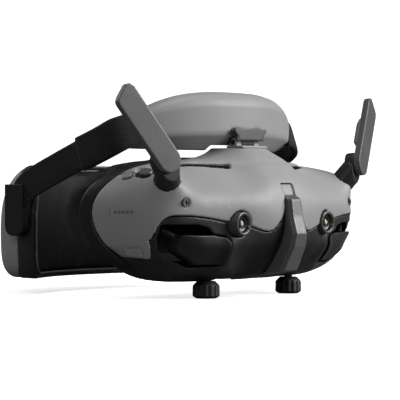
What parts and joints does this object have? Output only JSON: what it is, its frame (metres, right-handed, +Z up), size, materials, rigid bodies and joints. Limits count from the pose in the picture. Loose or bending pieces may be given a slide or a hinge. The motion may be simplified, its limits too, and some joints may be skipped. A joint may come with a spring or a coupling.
{
  "type": "fpv goggles",
  "caption": "First-person-view video goggles with folding antennas, adjustable eyepieces, a tilting forehead pad and an adjustable headband that carries a rear battery pack.",
  "frame": {"origin": "centre of the footprint on the plane of the focus knobs' feet", "axes": "+X towards the wearer's left, +Y towards the back of the head, +Z up"},
  "size_m": [0.2064, 0.1707, 0.1026],
  "materials": {
    "shell_grey": "fine moulded texture",
    "shell_dark": "satin",
    "fin_grey": "satin",
    "trim_black": "matte",
    "frame_grey": "satin",
    "key_grey": "satin",
    "cover_glass": "coated",
    "lens_clear": "coated",
    "screen": "polished",
    "steel": "plated",
    "circuit": "solder mask",
    "sink_alloy": "anodised",
    "mechanism": "moulded",
    "knob_rubber": "fluted",
    "foam": "soft-touch leatherette over foam",
    "webbing": "woven elastic",
    "cell_wrap": "heat-shrink sleeve"
  },
  "bodies": {
    "goggles": {"front_shell": "shell_grey", "lower_shell": "shell_dark", "centre_fin": "fin_grey", "intake_paddle_left": "trim_black", "intake_paddle_right": "trim_black", "vent_grille_left": "trim_black", "vent_grille_right": "trim_black", "camera_bezel_left": "trim_black", "camera_bezel_right": "trim_black", "camera_lens_left": "cover_glass", "camera_lens_right": "cover_glass", "camera_modules": "screen", "front_screws": "steel", "rear_frame": "trim_black", "face_foam": "foam", "main_board": "circuit", "heat_sink": "sink_alloy", "fan_housing": "trim_black", "guide_rods": "steel", "antenna_base_left": "shell_dark", "antenna_base_right": "shell_dark", "antenna_pins": "steel", "port_cover": "shell_grey", "wear_sensor": "trim_black", "hinge_bracket": "shell_grey", "hinge_pin": "steel"},
    "antenna_left": {"antenna_blade_left": "fin_grey"},
    "antenna_right": {"antenna_blade_right": "fin_grey"},
    "fan": {"fan_rotor": "trim_black"},
    "stick_ring": {"stick_gimbal": "trim_black"},
    "stick_rocker": {"stick_stem": "trim_black"},
    "stick_top": {"stick_cap": "key_grey"},
    "back_key": {"back_button": "key_grey"},
    "eyepiece_left": {"eye_carriage_left": "mechanism", "display_left": "screen"},
    "eyepiece_right": {"eye_carriage_right": "mechanism", "display_right": "screen"},
    "focus_left": {"focus_knob_left": "knob_rubber", "focus_roller_left": "steel"},
    "focus_right": {"focus_knob_right": "knob_rubber", "focus_roller_right": "steel"},
    "lens_left": {"lens_cell_left": "mechanism", "eyepiece_lens_left": "lens_clear"},
    "lens_right": {"lens_cell_right": "mechanism", "eyepiece_lens_right": "lens_clear"},
    "headband": {"hinge_tab": "shell_grey", "pad_shell": "shell_grey", "pad_foam": "foam", "band_sleeve_left": "trim_black", "band_sleeve_right": "trim_black"},
    "rear_pack": {"band_left": "webbing", "band_right": "webbing", "strap_anchor_left": "trim_black", "strap_anchor_right": "trim_black", "pack_cover": "shell_grey", "pack_frame": "frame_grey", "pack_cushion": "foam", "battery_cells": "cell_wrap", "battery_board": "circuit"},
    "power_key": {"power_button": "key_grey"}
  },
  "joints": [
    {"name": "antenna_left_fold", "type": "hinge", "parent": "goggles", "child": "antenna_left", "pos_m": [0.0774, -0.0646, 0.067], "axis": [-0.2761, 0.9572, -0.087], "range_deg": [0, 112]},
    {"name": "antenna_right_fold", "type": "hinge", "parent": "goggles", "child": "antenna_right", "pos_m": [-0.0774, -0.0646, 0.067], "axis": [-0.2761, -0.9572, 0.087], "range_deg": [0, 112]},
    {"name": "headband_tilt", "type": "hinge", "parent": "goggles", "child": "headband", "pos_m": [0, -0.048, 0.077], "axis": [1, 0, 0], "range_deg": [0, 28]},
    {"name": "headband_size", "type": "slide", "parent": "headband", "child": "rear_pack", "axis": [0, 0.9397, -0.342], "range_m": [-0.006, 0.014]},
    {"name": "power_press", "type": "slide", "parent": "rear_pack", "child": "power_key", "axis": [0, 1, 0], "range_m": [-0.0008, 0], "stiffness_N_per_m": 400},
    {"name": "ipd_left", "type": "slide", "parent": "goggles", "child": "eyepiece_left", "axis": [1, 0, 0], "range_m": [-0.005, 0.003]},
    {"name": "ipd_right", "type": "slide", "parent": "goggles", "child": "eyepiece_right", "axis": [-1, 0, 0], "range_m": [-0.005, 0.003]},
    {"name": "focus_left_turn", "type": "hinge", "parent": "eyepiece_left", "child": "focus_left", "pos_m": [0.033, -0.0506, 0.004], "axis": [0, 0, 1], "range_deg": [-76, 28.5]},
    {"name": "focus_right_turn", "type": "hinge", "parent": "eyepiece_right", "child": "focus_right", "pos_m": [-0.033, -0.0506, 0.004], "axis": [0, 0, -1], "range_deg": [-76, 28.5]},
    {"name": "lens_left_focus", "type": "slide", "parent": "eyepiece_left", "child": "lens_left", "axis": [0, 1, 0], "range_m": [-0.004, 0.0015]},
    {"name": "lens_right_focus", "type": "slide", "parent": "eyepiece_right", "child": "lens_right", "axis": [0, 1, 0], "range_m": [-0.004, 0.0015]},
    {"name": "stick_roll", "type": "hinge", "parent": "goggles", "child": "stick_ring", "pos_m": [-0.07165, -0.04569, 0.06008], "axis": [0, 0.9894, 0.1452], "range_deg": [-6, 6], "stiffness_Nm_per_rad": 0.05},
    {"name": "stick_pitch", "type": "hinge", "parent": "stick_ring", "child": "stick_rocker", "pos_m": [-0.07165, -0.04569, 0.06008], "axis": [0.9291, -0.0537, 0.366], "range_deg": [-6, 6], "stiffness_Nm_per_rad": 0.05},
    {"name": "stick_press", "type": "slide", "parent": "stick_rocker", "child": "stick_top", "axis": [-0.3699, -0.1349, 0.9192], "range_m": [-0.0005, 0], "stiffness_N_per_m": 400},
    {"name": "back_press", "type": "slide", "parent": "goggles", "child": "back_key", "axis": [-0.5909, -0.0835, 0.8024], "range_m": [-0.0006, 0], "stiffness_N_per_m": 400},
    {"name": "fan_spin", "type": "hinge", "parent": "goggles", "child": "fan", "pos_m": [0.0606, -0.0552, 0.031], "axis": [0, 1, 0], "continuous": true}
  ],
  "couplings": [
    {"joint": "focus_left_turn", "follows": "lens_left_focus", "rad_per_m": 330},
    {"joint": "focus_right_turn", "follows": "lens_right_focus", "rad_per_m": 330}
  ]
}
